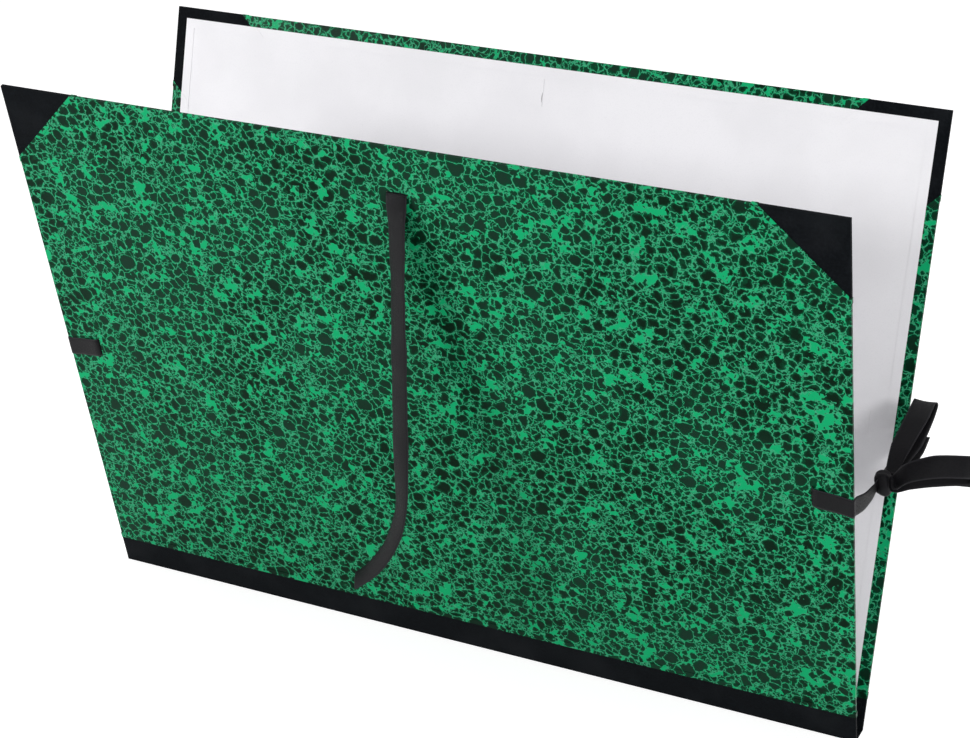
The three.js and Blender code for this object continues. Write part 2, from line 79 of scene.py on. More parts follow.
JOINTS = {joint["name"]: joint for joint in frame["joints"]}

# Sizes

MM = 0.001
COVER_WIDTH = 720 * MM
COVER_HEIGHT = 520 * MM
BOARD_THICKNESS = 2.2 * MM
CLOTH = 0.35 * MM
PAPER = 0.25 * MM
LINING = 0.25 * MM
GLUE = 0.05 * MM
RIBBON_WIDTH = 18 * MM
RIBBON = 0.45 * MM
RIBBON_OFF = 0.3 * MM
PASTED_END = 20 * MM
TOP_SLIT_DROP = 42 * MM
SIDE_SLIT_INSET = 33 * MM
SIDE_SLIT_HEIGHT = 260 * MM
RIBBON_SLANT = 5 * MM

SPINE_WIDTH = 2 * abs(JOINTS["front_cover_hinge"]["pos_m"][1])
LEAN = math.radians(JOINTS["front_cover_hinge"]["range_deg"][1])
SKIN = CLOTH + PAPER + 2 * GLUE
BOARD_FRONT = SKIN
BOARD_BACK = SKIN + BOARD_THICKNESS
PAPER_FACE = BOARD_FRONT - GLUE - PAPER

PASTED = BOARD_BACK + GLUE + RIBBON / 2
OUTSIDE = PAPER_FACE - RIBBON_OFF - RIBBON / 2
INSIDE = BOARD_BACK + 2 * GLUE + PAPER + LINING + RIBBON_OFF + RIBBON / 2
EDGE = COVER_WIDTH / 2 - SKIN + GLUE + PAPER + RIBBON_OFF + RIBBON / 2
SLIT_X = COVER_WIDTH / 2 - SIDE_SLIT_INSET
SLIT_Z = COVER_HEIGHT - TOP_SLIT_DROP


# Camera

CAMERA_AT = Vector((0.7638, -1.5564, 1.0530))
CAMERA_HEADING = math.radians(25.72)
CAMERA_PITCH = math.radians(24.44)
CAMERA_ROLL = math.radians(-0.09)
SENSOR = 36.0
LENS = 83.43


def make_camera():
    data = bpy.data.cameras.new("camera")
    data.sensor_width = SENSOR
    data.lens = LENS
    data.clip_end = 60
    camera = bpy.data.objects.new("camera", data)
    bpy.context.scene.collection.objects.link(camera)
    turn = Matrix.Rotation(CAMERA_HEADING, 4, "Z")
    turn = turn @ Matrix.Rotation(math.pi / 2 - CAMERA_PITCH, 4, "X")
    turn = turn @ Matrix.Rotation(CAMERA_ROLL, 4, "Z")
    camera.matrix_world = Matrix.Translation(CAMERA_AT) @ turn
    bpy.context.scene.camera = camera


# Node helpers

class Graph:
    """A material's node tree with short calls for the nodes that the materials use."""

    def __init__(self, name):
        self.material = bpy.data.materials.new(name)
        self.material.use_nodes = True
        self.tree = self.material.node_tree
        self.shader = self.tree.nodes["Principled BSDF"]
        self.coordinates = self.tree.nodes.new("ShaderNodeTexCoord")

    def add(self, kind, inputs=None, **settings):
        node = self.tree.nodes.new(kind)
        for key, value in settings.items():
            setattr(node, key, value)
        for key, value in (inputs or {}).items():
            self.put(node.inputs[key], value)
        return node

    def put(self, socket, value):
        if isinstance(value, bpy.types.NodeSocket):
            self.tree.links.new(value, socket)
        else:
            socket.default_value = value

    def math(self, operation, a, b=0.0, c=0.0):
        node = self.add("ShaderNodeMath", {0: a, 1: b, 2: c}, operation=operation)
        return node.outputs[0]

    def noise(self, place, scale, detail=2.0, roughness=0.5):
        inputs = {"Vector": place, "Scale": scale, "Detail": detail, "Roughness": roughness}
        return self.add("ShaderNodeTexNoise", inputs)

    def voronoi(self, place, scale, feature="F1"):
        inputs = {"Vector": place, "Scale": scale, "Randomness": 1.0}
        return self.add("ShaderNodeTexVoronoi", inputs, feature=feature)

    def ramp(self, value, low, high, to_low=0.0, to_high=1.0):
        inputs = {0: value, 1: low, 2: high, 3: to_low, 4: to_high}
        node = self.add("ShaderNodeMapRange", inputs, interpolation_type="SMOOTHSTEP")
        return node.outputs[0]

    def mix(self, share, a, b):
        node = self.add("ShaderNodeMix", data_type="RGBA")
        self.put(node.inputs[0], share)
        self.put(node.inputs[6], a)
        self.put(node.inputs[7], b)
        return node.outputs[2]

    def bump(self, height, distance, strength=1.0, under=None):
        inputs = {"Height": height, "Distance": distance, "Strength": strength}
        node = self.add("ShaderNodeBump", inputs)
        if under is not None:
            self.put(node.inputs["Normal"], under)
        return node.outputs[0]

    def finish(self, **inputs):
        for key, value in inputs.items():
            self.put(self.shader.inputs[key.replace("_", " ")], value)
        return self.material


def rgb(red, green, blue):
    """A colour written as it looks, from 0 to 255, as the shader's linear values."""
    def linear(value):
        share = value / 255
        return share / 12.92 if share <= 0.04045 else ((share + 0.055) / 1.055) ** 2.4
    return (linear(red), linear(green), linear(blue), 1.0)


# Materials

GREEN = rgb(16, 160, 102)
VEIN_GREEN = rgb(64, 158, 118)
DROP_RIM = rgb(0, 58, 34)
DROP_INK = rgb(0, 28, 13)
# Greyer ink: partly the drops' own uneven tone, partly a painted sheen of the glossy paper.
DROP_GREY_AND_SHEEN = rgb(16, 48, 34)

# How far the drops' outlines wander, and where on the patches' noise, from 0 to 1, an open patch
# ends and a dense one is full.
WANDER = 5 * MM
OPEN_BELOW = 0.40
DENSE_ABOVE = 0.54

# How softly a drop's sides run into each other, in cells, and half the width of its soft rim.
ROUNDING = 0.08
SOFT_RIM = 0.3 * MM

# Sizes of ink drops, the largest first: cells per metre, width of the veins round them, shares
# of the cells that hold a drop in the open and in the dense patches, and a drop's smallest and
# largest radius in cells.
DROPS = (
    (76, 0.66 * MM, 0.06, 0.20, 0.42, 0.68),
    (118, 0.62 * MM, 0.28, 0.85, 0.50, 0.88),
    (162, 0.58 * MM, 0.45, 1.00, 0.56, 0.98),
    (240, 0.55 * MM, 0.40, 0.90, 0.50, 0.80),
)


def marbled_paper():
    """Stone marbling: ink drops of several sizes that press the green ground into veins."""
    g = Graph("marbled_paper")
    place = g.coordinates.outputs["Object"]
    wander = g.noise(place, 260, 2.0, 0.5)
    offset = g.add("ShaderNodeVectorMath", {0: wander.outputs["Color"], 1: (0.5, 0.5, 0.5)},
                   operation="SUBTRACT")
    scaled = g.add("ShaderNodeVectorMath", {0: offset.outputs[0], "Scale": WANDER},
                   operation="SCALE")
    bent = g.add("ShaderNodeVectorMath", {0: place, 1: scaled.outputs[0]}, operation="ADD")
    bent = bent.outputs[0]
    region = g.noise(place, 60, 2.0).outputs[0]

    # outer is how deep a place lies in the drops so far, in metres, and -1 where no drop is near.
    dark = 0.0
    middles = 0.0
    outer = -1.0
    for scale, vein, open_share, dense_share, smallest, largest in DROPS:
        cells = g.voronoi(bent, scale)
        edge = g.voronoi(bent, scale, "DISTANCE_TO_EDGE").outputs["Distance"]
        chance = g.add("ShaderNodeSeparateColor", {0: cells.outputs["Color"]})
        radius = g.math("MULTIPLY", chance.outputs[1], largest - smallest)
        room = g.math("SUBTRACT", g.math("ADD", radius, smallest), cells.outputs["Distance"])
        wall = g.math("SUBTRACT", edge, vein / 2 * scale)
        # A smaller drop is pressed flat against the veins of the larger ones beside it.
        gap = g.math("MULTIPLY", g.math("ADD", outer, vein), -scale)
        depth = g.math("SMOOTH_MIN", room, wall, ROUNDING)
        depth = g.math("SMOOTH_MIN", depth, gap, ROUNDING)
        limit = g.ramp(region, OPEN_BELOW, DENSE_ABOVE, open_share, dense_share)
        chosen = g.math("LESS_THAN", chance.outputs[0], limit)
        inside = g.ramp(depth, -SOFT_RIM * scale, SOFT_RIM * scale)
        middle = g.ramp(depth, 0.5 * MM * scale, 1.8 * MM * scale)
        dark = g.math("MAXIMUM", dark, g.math("MULTIPLY", inside, chosen))
        middles = g.math("MAXIMUM", middles, g.math("MULTIPLY", middle, chosen))
        own = g.math("MULTIPLY", g.math("ADD", g.math("DIVIDE", depth, scale), 1.0), chosen)
        outer = g.math("MAXIMUM", outer, g.math("SUBTRACT", own, 1.0))

    tone = g.noise(place, 620, 2.0).outputs[0]
    broad = g.noise(place, 7, 2.0).outputs[0]
    taken = g.ramp(outer, -1.1 * MM, -0.5 * MM)
    open_ground = g.math("SUBTRACT", 1.0, taken)
    ground = g.mix(g.math("MULTIPLY", taken, g.ramp(tone, 0.3, 0.6)), GREEN, VEIN_GREEN)
    ground = g.mix(g.math("MULTIPLY", open_ground, 0.5), ground, GREEN)
    # Drops turn greyer in broad patches: partly the ink's uneven tone, partly a painted sheen in
    # place of the gloss.
    ink = g.mix(g.ramp(broad, 0.4, 0.62), DROP_INK, DROP_GREY_AND_SHEEN)
    ink = g.mix(middles, DROP_RIM, ink)
    colour = g.mix(dark, ground, ink)
    pores = g.noise(place, 2600, 2.0).outputs[0]
    waves = g.noise(place, 9, 1.0).outputs[0]
    broad_bump = g.bump(waves, 2.2 * MM, 0.5)
    height = g.math("ADD", g.math("MULTIPLY", dark, 0.4), pores)
    normal = g.bump(height, 0.04 * MM, 0.35, broad_bump)
    gloss = g.ramp(pores, 0.3, 0.7, 0.26, 0.4)
    return g.finish(Base_Color=colour, Roughness=gloss, Normal=normal, Specular_IOR_Level=0.04)


def wave_scale(pitch):
    """The wave texture's scale at which its bands repeat after pitch, in metres."""
    return 2 * math.pi / (20 * pitch)


CLOTH_PITCH = 0.5 * MM
RIB_PITCH = 0.85 * MM
THREAD_PITCH = 0.5 * MM
SELVEDGE_START = 7.6 * MM
SELVEDGE_FULL = 8.2 * MM


def weave(g, place, pitch, strands):
    """Height of crossing threads. strands names the two directions that the threads follow."""
    scale = wave_scale(pitch)
    heights = []
    for direction in strands:
        inputs = {"Vector": place, "Scale": scale, "Distortion": 0.4, "Detail": 1.0}
        node = g.add("ShaderNodeTexWave", inputs, bands_direction=direction)
        heights.append(node.outputs["Fac"])
    return g.math("MULTIPLY", heights[0], heights[1])


def book_cloth():
    g = Graph("book_cloth")
    place = g.coordinates.outputs["Object"]
    threads = weave(g, place, CLOTH_PITCH, ("X", "Z"))
    slubs = g.noise(place, 420, 4.0, 0.65).outputs[0]
    patch = g.noise(place, 26, 3.0).outputs[0]
    colour = g.mix(g.ramp(slubs, 0.35, 0.75), rgb(5, 7, 10), rgb(18, 21, 24))
    colour = g.mix(g.ramp(patch, 0.4, 0.75, 0.0, 0.35), colour, rgb(32, 34, 37))
    height = g.math("ADD", g.math("MULTIPLY", threads, 0.7), slubs)
    normal = g.bump(height, 0.12 * MM, 0.7)
    rough = g.ramp(slubs, 0.3, 0.7, 0.55, 0.75)
    return g.finish(Base_Color=colour, Roughness=rough, Normal=normal, Specular_IOR_Level=0.03)


def lining_paper():
    g = Graph("lining_paper")
    place = g.coordinates.outputs["Object"]
    fibre = g.noise(place, 900, 4.0, 0.6).outputs[0]
    cloud = g.noise(place, 14, 3.0).outputs[0]
    colour = g.mix(g.ramp(cloud, 0.3, 0.7), rgb(227, 226, 229), rgb(233, 232, 235))
    colour = g.mix(g.ramp(fibre, 0.45, 0.8, 0.0, 0.35), colour, rgb(216, 215, 219))
    normal = g.bump(fibre, 0.06 * MM, 0.5, g.bump(cloud, 1.2 * MM, 0.25))
    return g.finish(Base_Color=colour, Roughness=0.82, Normal=normal, Specular_IOR_Level=0.3)


def grey_board():
    g = Graph("grey_board")
    place = g.coordinates.outputs["Object"]
    fibre = g.noise(place, 700, 5.0, 0.7).outputs[0]
    colour = g.mix(g.ramp(fibre, 0.35, 0.65), rgb(138, 130, 118), rgb(168, 160, 148))
    normal = g.bump(fibre, 0.1 * MM, 0.6)
    return g.finish(Base_Color=colour, Roughness=0.92, Normal=normal)


def ribbon_cloth():
    """Black woven ribbon: fine ribs across its width, and a lighter band along each edge."""
    g = Graph("ribbon_cloth")
    place = g.coordinates.outputs["UV"]
    split = g.add("ShaderNodeSeparateXYZ", {0: place})
    inputs = {"Vector": place, "Scale": wave_scale(RIB_PITCH), "Distortion": 0.5, "Detail": 1.0}
    ribs = g.add("ShaderNodeTexWave", inputs, bands_direction="Y")
    inputs = {"Vector": place, "Scale": wave_scale(THREAD_PITCH)}
    threads = g.add("ShaderNodeTexWave", inputs, bands_direction="X")
    fluff = g.noise(g.coordinates.outputs["Object"], 700, 4.0, 0.6).outputs[0]
    off_middle = g.math("ABSOLUTE", split.outputs[0])
    selvedge = g.ramp(off_middle, SELVEDGE_START, SELVEDGE_FULL)
    colour = g.mix(g.ramp(fluff, 0.35, 0.7), rgb(4, 4, 7), rgb(15, 14, 17))
    colour = g.mix(g.math("MULTIPLY", selvedge, 0.5), colour, rgb(44, 43, 47))
    height = g.math("ADD", ribs.outputs["Fac"], g.math("MULTIPLY", threads.outputs["Fac"], 0.3))
    height = g.math("ADD", height, g.math("MULTIPLY", fluff, 0.5))
    normal = g.bump(height, 0.14 * MM, 0.6)
    rough = g.ramp(fluff, 0.3, 0.7, 0.38, 0.55)
    return g.finish(Base_Color=colour, Roughness=rough, Normal=normal, Specular_IOR_Level=0.12)


def seen_directly(tree):
    """1 for the camera's rays and for those in gloss and through glass, and 0 for other light."""
    path = tree.nodes.new("ShaderNodeLightPath")
    result = path.outputs["Is Camera Ray"]
    for name in ("Is Glossy Ray", "Is Transmission Ray"):
        either = tree.nodes.new("ShaderNodeMath")
        either.operation = "MAXIMUM"
        tree.links.new(result, either.inputs[0])
        tree.links.new(path.outputs[name], either.inputs[1])
        result = either.outputs[0]
    return result


def floor_white():
    """White floor, which is lit up a little more where it is seen than where it lights."""
    g = Graph("floor_white")
    g.put(g.shader.inputs["Emission Color"], (1.0, 1.0, 1.0, 1.0))
    strength = g.math("MULTIPLY", seen_directly(g.tree), 0.5)
    return g.finish(Base_Color=rgb(244, 244, 244), Roughness=0.95, Emission_Strength=strength)


MARBLED = marbled_paper()
BOOK_CLOTH = book_cloth()
LINING_PAPER = lining_paper()
GREY_BOARD = grey_board()
RIBBON_CLOTH = ribbon_cloth()


# Meshes

def new_object(name, vertices, faces, material, smooth=False):
    data = bpy.data.meshes.new(name)
    data.from_pydata([tuple(v) for v in vertices], [], faces)
    data.materials.append(material)
    made = bpy.data.objects.new(name, data)
    bpy.context.scene.collection.objects.link(made)
    for polygon in data.polygons:
        polygon.use_smooth = smooth
    return made


def placed(facing, x, y, z):
    """Where a point of a cover's own upright frame is. facing is 1 in front and -1 behind."""
    point = Matrix.Rotation(LEAN, 3, "X") @ Vector((x, y, z))
    point.y -= SPINE_WIDTH / 2
    return point if facing > 0 else Vector((-point.x, -point.y, point.z))


def turned(facing, direction):
    """A direction of a cover's own frame, in the frame of the whole."""
    result = Matrix.Rotation(LEAN, 3, "X") @ Vector(direction)
    return result if facing > 0 else Vector((-result.x, -result.y, result.z))


# Ribbons

class Station:
    """A place on a ribbon's middle line, the direction of its width and its width there."""

    def __init__(self, x, y, z, across, width=RIBBON_WIDTH):
        self.at = Vector((x, y, z))
        self.across = Vector(across)
        self.width = width


def catmull(a, b, c, d, t):
    return 0.5 * ((2 * b) + (c - a) * t + (2 * a - 5 * b + 4 * c - d) * t ** 2
                  + (3 * b - a - 3 * c + d) * t ** 3)


def resample(stations, step):
    """Stations close together along a smooth line through the given ones."""
    result = []
    last = len(stations) - 1
    for i in range(last):
        ring = [stations[max(i - 1, 0)], stations[i], stations[i + 1], stations[min(i + 2, last)]]
        span = (ring[2].at - ring[1].at).length
        # A neighbour much further away than this span would make the line overshoot.
        before = ring[1].at + clipped(ring[0].at - ring[1].at, span)
        after = ring[2].at + clipped(ring[3].at - ring[2].at, span)
        count = max(1, round(span / step))
        for k in range(count):
            t = k / count
            at = catmull(before, ring[1].at, ring[2].at, after, t)
            across = ring[1].across.lerp(ring[2].across, t * t * (3 - 2 * t))
            width = ring[1].width + (ring[2].width - ring[1].width) * t
            result.append(Station(*at, across, width))
    result.append(stations[last])
    return result


def clipped(vector, length):
    return vector if vector.length <= length else vector.normalized() * length


# Steps across a ribbon, its thickness at the selvedge as a share, and what shapes its ripple.
CROSS_STEPS = 8
EDGE_SHARE = 0.55
RIPPLE_LENGTH = 9 * MM
RIPPLE_FADE = 23 * MM


def ribbon(name, stations, step=1.6 * MM, cup=0.0, ripple=0.0):
    """A ribbon with thin edges. cup arches it across, and ripple tilts it to and fro along it."""
    fine = resample(stations, step)
    columns = CROSS_STEPS + 1
    vertices = []
    places = []
    distance = 0.0
    for index, one in enumerate(fine):
        before = fine[max(index - 1, 0)].at
        after = fine[min(index + 1, len(fine) - 1)].at
        along = (after - before).normalized()
        across = (one.across - along * one.across.dot(along)).normalized()
        face = along.cross(across)
        if index:
            distance += (one.at - before).length
        fade = math.sin(distance / RIPPLE_FADE + 1.0)
        buckle = ripple * math.sin(distance / RIPPLE_LENGTH) * fade
        for side in (1, -1):
            for column in range(columns):
                u = (2 * column / CROSS_STEPS - 1) * side
                arch = cup * (1 - u * u) + buckle * u
                thick = RIBBON / 2 * side * (1.0 if abs(u) < 0.99 else EDGE_SHARE)
                vertices.append(one.at + across * (u * one.width / 2) + face * (arch + thick))
                places.append((u * RIBBON_WIDTH / 2, distance))
    ring = 2 * columns
    faces = []
    for index in range(len(fine) - 1):
        for side in range(ring):
            a = index * ring + side
            b = index * ring + (side + 1) % ring
            faces.append((a, b, b + ring, a + ring))
    faces.append(tuple(range(ring - 1, -1, -1)))
    faces.append(tuple(range((len(fine) - 1) * ring, len(fine) * ring)))
    made = new_object(name, vertices, faces, RIBBON_CLOTH, smooth=True)
    layer = made.data.uv_layers.new(name="ribbon")
    for loop in made.data.loops:
        layer.data[loop.index].uv = places[loop.vertex_index]
    recalculate_normals(made)
    return made, distance


def recalculate_normals(made):
    mesh = bmesh.new()
    mesh.from_mesh(made.data)
    bmesh.ops.recalc_face_normals(mesh, faces=mesh.faces)
    mesh.to_mesh(made.data)
    mesh.free()


def side_ribbon_start(side):
    """From the pasted end, out through a side slit and round the edge, in a cover's frame."""
    up = (0, 0, 1)
    high = SIDE_SLIT_HEIGHT
    low = high - RIBBON_SLANT
    return [
        Station(side * (SLIT_X - PASTED_END), PASTED, high, up),
        Station(side * (SLIT_X - 0.5 * MM), PASTED, high, up),
        Station(side * SLIT_X, PASTED - 0.5 * MM, high, up),
        Station(side * SLIT_X, OUTSIDE + 0.5 * MM, high, up),
        Station(side * (SLIT_X + 0.7 * MM), OUTSIDE - 0.7 * MM, high - 0.2 * MM, up),
        Station(side * (SLIT_X + 4 * MM), OUTSIDE - 1.3 * MM, high - 0.8 * MM, up),
        Station(side * (SLIT_X + 12 * MM), OUTSIDE - 0.5 * MM, high - 2.2 * MM, up),
        Station(side * (EDGE - 12 * MM), OUTSIDE, low + 1.6 * MM, up),
        Station(side * (EDGE - 1.0 * MM), OUTSIDE, low, up),
        Station(side * (EDGE - 0.2 * MM), OUTSIDE + 0.3 * MM, low, up),
        Station(side * EDGE, OUTSIDE + 1.0 * MM, low, up),
    ]


def on_cover(facing, stations):
    """Stations of a cover's own frame, where that cover stands."""
    return [Station(*placed(facing, *one.at), turned(facing, one.across), one.width)
            for one in stations]


def loose_side_ribbon(side):
    low = SIDE_SLIT_HEIGHT - RIBBON_SLANT
    run, turn, fall = 26 * MM, 30 * MM, 170 * MM
    stations = [
        *side_ribbon_start(side),
        Station(side * EDGE, INSIDE - 1.0 * MM, low, (0, 0, 1)),
        Station(side * (EDGE - 0.2 * MM), INSIDE - 0.3 * MM, low, (0, 0, 1)),
        Station(side * (EDGE - 1.0 * MM), INSIDE, low, (0, 0, 1)),
        Station(side * (EDGE - run / 2), INSIDE, low, (0, 0, 1)),
    ]
    steps = 8
    start = EDGE - run
    for step in range(steps + 1):
        angle = math.pi / 2 * step / steps
        x = side * (start - turn * math.sin(angle))
        z = low - turn * (1 - math.cos(angle))
        stations.append(Station(x, INSIDE, z, (-side * math.sin(angle), 0, math.cos(angle))))
    end = side * (start - turn)
    for share in (0.25, 0.5, 0.75, 1.0):
        drift = 3 * MM * math.sin(share * math.pi)
        stations.append(Station(end - side * drift, INSIDE + 0.4 * MM, low - turn - fall * share,
                                (-side, 0, 0)))
    return stations


HANG_LENGTH = 250 * MM
BACK_HANG_LENGTH = 290 * MM
CURL_RADIUS = 110 * MM
CURL_ANGLE = math.radians(54)
CURL_TWIST = 0.52
CURL_TWIST_MORE = 0.3

# How far below the slit, in millimetres, the ribbon has turned by which angle, in radians.
HANG_TWISTS = ((8, 0.05), (24, 0.3), (50, 0.42), (90, 0.44), (140, 0.38), (190, 0.34), (225, 0.4))


def hanging_ribbon(length, curl_side):
    """A top ribbon: through its slit, over its lower lip, then hanging under its own weight."""
    def away(fall):
        return OUTSIDE - 1.4 * MM - fall * math.tan(LEAN)

    def twisted(angle):
        return (math.cos(angle), curl_side * math.sin(angle), 0)

    stations = [
        Station(0, PASTED, SLIT_Z + PASTED_END, (1, 0, 0)),
        Station(0, PASTED, SLIT_Z + 0.5 * MM, (1, 0, 0)),
        Station(0, PASTED - 0.5 * MM, SLIT_Z, (1, 0, 0)),
        Station(0, OUTSIDE + 0.5 * MM, SLIT_Z, (1, 0, 0)),
        Station(0, OUTSIDE - 0.5 * MM, SLIT_Z - 0.4 * MM, (1, 0, 0)),
        Station(0, OUTSIDE - 1.6 * MM, SLIT_Z - 2.4 * MM, (1, 0, 0)),
    ]
    for fall, angle in HANG_TWISTS:
        stations.append(Station(0, away(fall * MM), SLIT_Z - fall * MM, twisted(angle)))
    stations.append(Station(0, away(length), SLIT_Z - length, twisted(CURL_TWIST)))
    steps = 8
    for step in range(1, steps + 1):
        share = step / steps
        angle = CURL_ANGLE * share
        x = curl_side * CURL_RADIUS * (1 - math.cos(angle))
        z = SLIT_Z - length - CURL_RADIUS * math.sin(angle)
        twist = CURL_TWIST + CURL_TWIST_MORE * share
        stations.append(Station(x, away(SLIT_Z - z), z, twisted(twist)))
    return stations


# The bow, in the frame of the whole

KNOT = (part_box("bow_knot")[0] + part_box("bow_knot")[1]) / 2
KNOT_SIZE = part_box("bow_knot")[1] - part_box("bow_knot")[0]
LOOP_REACH = 64 * MM
LOOP_RISE = 27 * MM
LOOP_OPEN = 20 * MM
LOOP_TILT = 14 * MM
UPPER_REACH = 76 * MM
UPPER_RISE = 36 * MM
UPPER_OUT = 9 * MM
UPPER_OPEN = 14 * MM
TAIL_LENGTH = 58 * MM


def tied_ribbon(facing):
    start = on_cover(facing, side_ribbon_start(facing))
    up = turned(facing, (0, 0, 1))
    reach = KNOT_SIZE.y / 2 - 1.0 * MM
    end = Vector((KNOT.x - KNOT_SIZE.x / 4, KNOT.y - facing * reach, KNOT.z))
    leave = placed(facing, EDGE * facing, BOARD_BACK + SKIN, SIDE_SLIT_HEIGHT - RIBBON_SLANT)
    bend = leave.lerp(end, 0.35) + Vector((1, 0, -2)) * MM
    near = leave.lerp(end, 0.75) + Vector((1, 0, -1)) * MM
    return start + [
        Station(*leave, up),
        Station(*bend, up, 16 * MM),
        Station(*near, (0, 0, 1), 13 * MM),
        Station(end.x, end.y - facing * 2.5 * MM, end.z, (0, 0, 1), 11 * MM),
        Station(*end, (0, 0, 1), 10 * MM),
    ]


def right_loop():
    x = KNOT.x + KNOT_SIZE.x / 2 - 1.0 * MM
    near = KNOT.y - 3 * MM
    z = KNOT.z + 3 * MM
    up = (0, 0.25, 1)

    def out(share):
        return x + LOOP_REACH * share

    return [
        Station(x, near, z, up, 10 * MM),
        Station(out(0.05), near, z + 1 * MM, up, 12 * MM),
        Station(out(0.22), near - 5 * MM, z + LOOP_RISE * 0.5, up, 15 * MM),
        Station(out(0.55), near - 7 * MM, z + LOOP_RISE * 0.9, up),
        Station(out(0.88), near - 3 * MM, z + LOOP_RISE, up),
        Station(out(1), near + LOOP_OPEN * 0.35, z + LOOP_RISE * 0.85, up),
        Station(out(0.86), near + LOOP_OPEN * 0.75, z + LOOP_RISE - LOOP_TILT, up),
        Station(out(0.5), near + LOOP_OPEN * 0.6, z + LOOP_RISE * 0.8 - LOOP_TILT, up),
        Station(out(0.2), near + LOOP_OPEN * 0.35, z + LOOP_RISE * 0.35 - LOOP_TILT * 0.6, up,
                14 * MM),
        Station(out(0.05), near + 5 * MM, z - 5 * MM, up, 10 * MM),
        Station(x, near + 5 * MM, z - 5 * MM, up, 9 * MM),
    ]


def upper_loop():
    y = KNOT.y + KNOT_SIZE.y / 2 - 1.0 * MM
    x = KNOT.x + 3 * MM
    over = KNOT.x + UPPER_OUT
    z = KNOT.z + 5 * MM
    wide = (1, 0, 0)

    def out(share):
        return y + UPPER_REACH * share

    return [
        Station(x, y, z + 2 * MM, wide, 9 * MM),
        Station(x, out(0.05), z + 2 * MM, wide, 9 * MM),
        Station(x + 2 * MM, out(0.25), z + UPPER_RISE * 0.45, wide, 16 * MM),
        Station(over, out(0.6), z + UPPER_RISE * 0.86, wide),
        Station(over, out(0.9), z + UPPER_RISE, wide),
        Station(over, out(1), z + UPPER_RISE - UPPER_OPEN * 0.4, wide),
        Station(over, out(0.88), z + UPPER_RISE - UPPER_OPEN * 0.95, wide),
        Station(over - 1 * MM, out(0.5), z + UPPER_RISE * 0.62 - UPPER_OPEN * 0.8, wide),
        Station(x + 1 * MM, out(0.2), z + UPPER_RISE * 0.2 - UPPER_OPEN * 0.3, wide, 15 * MM),
        Station(x, out(0.05), z - 3 * MM, wide, 9 * MM),
        Station(x, y, z - 3 * MM, wide, 9 * MM),
    ]


def right_tail():
    x = KNOT.x + KNOT_SIZE.x / 2 - 1.0 * MM
    y = KNOT.y + 5 * MM
    up = (0, 0.1, 1)
    return [
        Station(x, y, KNOT.z - 1 * MM, up, 9 * MM),
        Station(x + 3 * MM, y, KNOT.z - 1 * MM, up, 9 * MM),
        Station(x + TAIL_LENGTH * 0.3, y + 6 * MM, KNOT.z + 5 * MM, up, 15 * MM),
        Station(x + TAIL_LENGTH * 0.65, y + 10 * MM, KNOT.z + 10 * MM, up),
        Station(x + TAIL_LENGTH, y + 14 * MM, KNOT.z + 11 * MM, up),
    ]


def upper_tail():
    y = KNOT.y + KNOT_SIZE.y / 2 - 1.0 * MM
    x = KNOT.x + 4 * MM
    wide = (1, 0, 0)
    return [
        Station(x, y, KNOT.z - 3 * MM, wide, 9 * MM),
        Station(x, y + 3 * MM, KNOT.z - 3 * MM, wide, 9 * MM),
        Station(x + 3 * MM, y + TAIL_LENGTH * 0.35, KNOT.z + 3 * MM, wide, 15 * MM),
        Station(x + 5 * MM, y + TAIL_LENGTH * 0.7, KNOT.z + 9 * MM, wide),
        Station(x + 5 * MM, y + TAIL_LENGTH, KNOT.z + 15 * MM, wide),
    ]


KNOT_WIDTH_SHARE = 0.74
KNOT_END_SHARE = 0.78
KNOT_CREASE = 0.05


def knot_wrap():
    """The knot: a band of ribbon wound once round the gathered strands, crowned and creased."""
    rings = 10
    around = 28
    vertices = []
    for ring in range(rings + 1):
        share = ring / rings
        across = (share - 0.5) * KNOT_SIZE.x * KNOT_WIDTH_SHARE
        swell = KNOT_END_SHARE + (1 - KNOT_END_SHARE) * math.sin(share * math.pi) ** 0.6
        for step in range(around):
            angle = 2 * math.pi * step / around
            crease = 1 - KNOT_CREASE * math.cos(6 * angle + 3 * share)
            c, s = math.cos(angle), math.sin(angle)
            square = (abs(c) ** 3 + abs(s) ** 3) ** (-1 / 3)
            y = c * square * swell * crease * KNOT_SIZE.y / 2
            z = s * square * swell * crease * KNOT_SIZE.z / 2
            slant = 0.1 * y - 0.18 * z
            vertices.append(KNOT + Vector((across + slant, y, z + 0.1 * across)))
    faces = []
    for ring in range(rings):
        for step in range(around):
            a = ring * around + step
            b = ring * around + (step + 1) % around
            faces.append((a, b, b + around, a + around))
    faces.append(tuple(range(around - 1, -1, -1)))
    faces.append(tuple(range(rings * around, (rings + 1) * around)))
    made = new_object("knot", vertices, faces, RIBBON_CLOTH, smooth=True)
    layer = made.data.uv_layers.new(name="ribbon")
    for loop in made.data.loops:
        co = made.data.vertices[loop.vertex_index].co - KNOT
        layer.data[loop.index].uv = (co.x, co.z)
    recalculate_normals(made)
    return made


